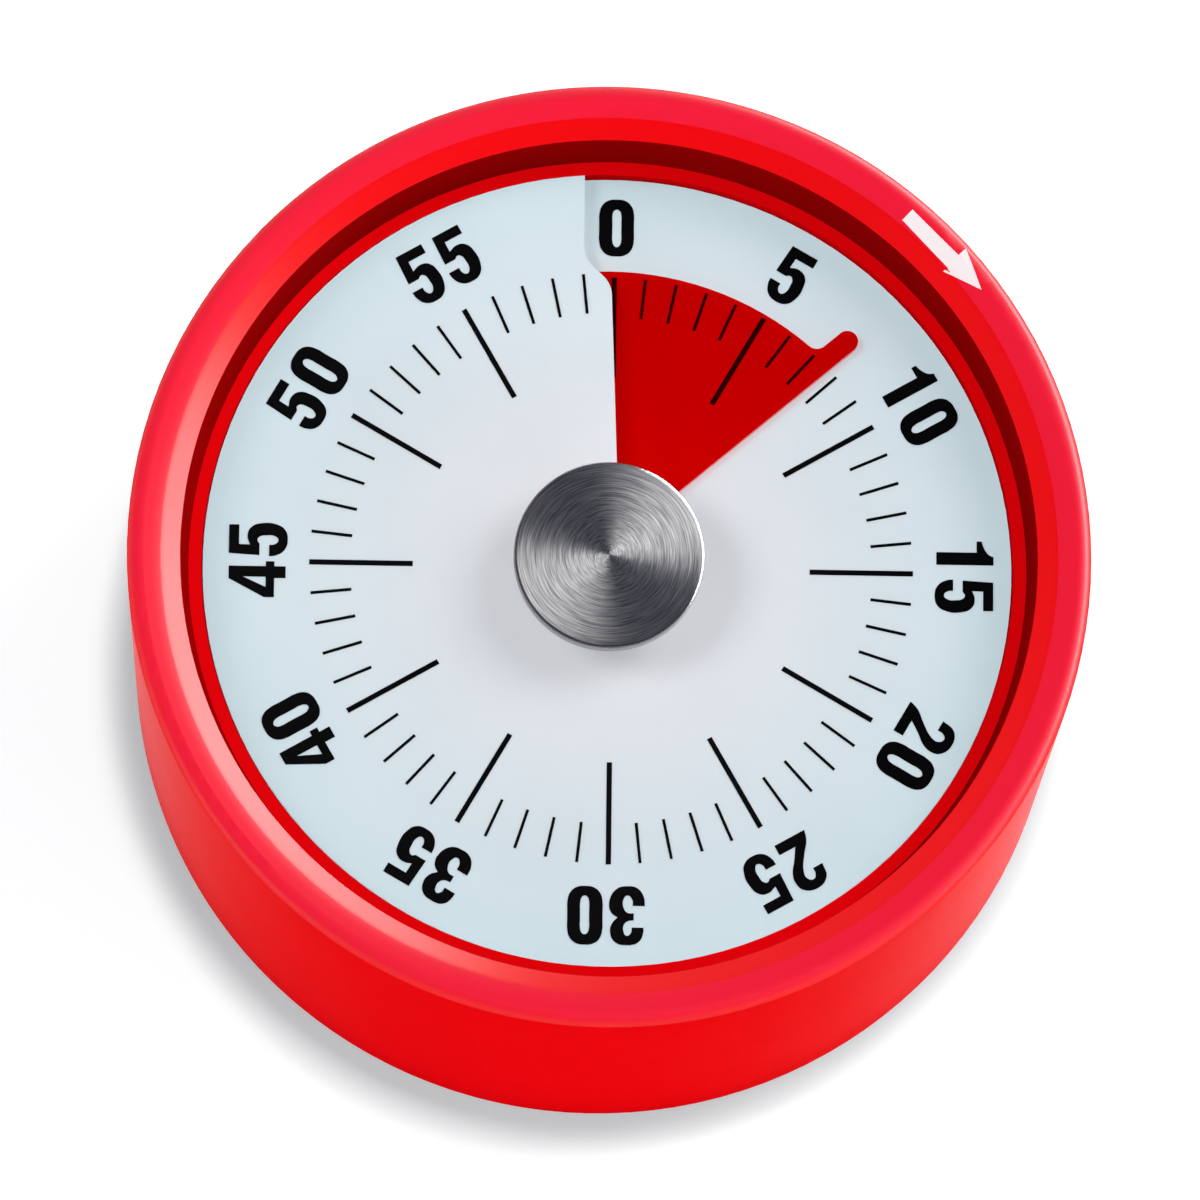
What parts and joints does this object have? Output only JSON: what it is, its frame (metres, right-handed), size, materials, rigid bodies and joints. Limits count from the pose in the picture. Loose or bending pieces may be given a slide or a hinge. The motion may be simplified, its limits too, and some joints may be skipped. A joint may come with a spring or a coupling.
{
  "type": "analog timer",
  "caption": "Round clockwork countdown timer with a spiral dial, a red flag that shows the time left, a turned steel knob and a magnetic back.",
  "frame": {"origin": "middle of the flat back face that the timer lies on", "axes": "+Z out of the dial, +Y to the zero mark at 12 o'clock, +X to the 15-minute mark"},
  "size_m": [0.0804, 0.0804, 0.0437],
  "materials": {
    "red_case": "satin red moulding",
    "dial_sheet": "pale matt sheet with black print",
    "flag_film": "red see-through film",
    "turned_steel": "turned with fine rings",
    "dark_moulding": "black moulding",
    "brass": "stamped brass",
    "steel": "plain steel",
    "zinc_plate": "zinc plated sheet",
    "spring_steel": "blued spring strip",
    "bell_metal": "plated pressing",
    "magnet": "dark ferrite discs",
    "hammer_brass": "turned brass"
  },
  "bodies": {
    "case": {"case_shell": "red_case", "back_cover": "red_case", "cover_screws": "zinc_plate", "magnets": "magnet", "dial_carrier": "dark_moulding", "dial": "dial_sheet", "front_plate": "zinc_plate", "back_plate": "zinc_plate", "pillars": "steel", "pillar_screws": "zinc_plate", "movement_screws": "zinc_plate", "front_bush": "brass", "rear_bush": "brass", "mainspring": "spring_steel", "spring_post": "steel", "trip_post": "steel", "hammer_post": "steel", "bell": "bell_metal", "bell_post": "steel", "bell_screw": "zinc_plate"},
    "winder": {"main_arbor": "steel", "knob_core": "dark_moulding", "knob_cap": "turned_steel", "great_wheel": "brass", "clutch_spring": "spring_steel", "trip_cam": "steel"},
    "pointer": {"flag": "flag_film", "flag_hub": "dark_moulding"},
    "second_train": {"second_arbor": "steel", "second_wheel": "brass", "strike_star": "steel"},
    "third_train": {"third_arbor": "steel", "third_wheel": "brass"},
    "escape_train": {"escape_arbor": "steel", "escape_wheel": "brass"},
    "rocker": {"anchor_arbor": "steel", "anchor": "steel", "balance_bar": "steel"},
    "trip": {"trip_lever": "steel"},
    "striker": {"hammer": "steel", "hammer_head": "hammer_brass"}
  },
  "joints": [
    {"name": "knob_turn", "type": "hinge", "parent": "case", "child": "winder", "pos_m": [0, 0, 0.02], "axis": [0, 0, -1], "range_deg": [-46.2, 295.8], "deforming": ["mainspring"]},
    {"name": "flag_rise", "type": "slide", "parent": "winder", "child": "pointer", "axis": [0, 0, 1], "range_m": [-0.00021, 0.00131]},
    {"name": "second_turn", "type": "hinge", "parent": "case", "child": "second_train", "pos_m": [-0.01644, -0.00599, 0.02], "axis": [0, 0, -1], "range_deg": [-1775.8, 278.2]},
    {"name": "third_turn", "type": "hinge", "parent": "case", "child": "third_train", "pos_m": [-0.01004, -0.01613, 0.02], "axis": [0, 0, -1], "range_deg": [-1387, 8875]},
    {"name": "escape_turn", "type": "hinge", "parent": "case", "child": "escape_train", "pos_m": [-0.00128, -0.02096, 0.02], "axis": [0, 0, -1], "range_deg": [-35497, 5545]},
    {"name": "anchor_rock", "type": "hinge", "parent": "case", "child": "rocker", "pos_m": [0.00837, -0.01926, 0.02], "axis": [0, 0, 1], "range_deg": [-3, 3]},
    {"name": "trip_lift", "type": "hinge", "parent": "case", "child": "trip", "pos_m": [0.01189, 0.01417, 0.02], "axis": [0, 0, 1], "range_deg": [0, 6]},
    {"name": "hammer_swing", "type": "hinge", "parent": "case", "child": "striker", "pos_m": [-0.00919, 0.00771, 0.02], "axis": [0, 0, 1], "range_deg": [0, 12]}
  ],
  "couplings": [
    {"joint": "knob_turn", "follows": "flag_rise", "rad_per_m": 3927},
    {"joint": "second_turn", "follows": "flag_rise", "rad_per_m": -23562},
    {"joint": "third_turn", "follows": "flag_rise", "rad_per_m": 117810},
    {"joint": "escape_turn", "follows": "flag_rise", "rad_per_m": -471240}
  ]
}
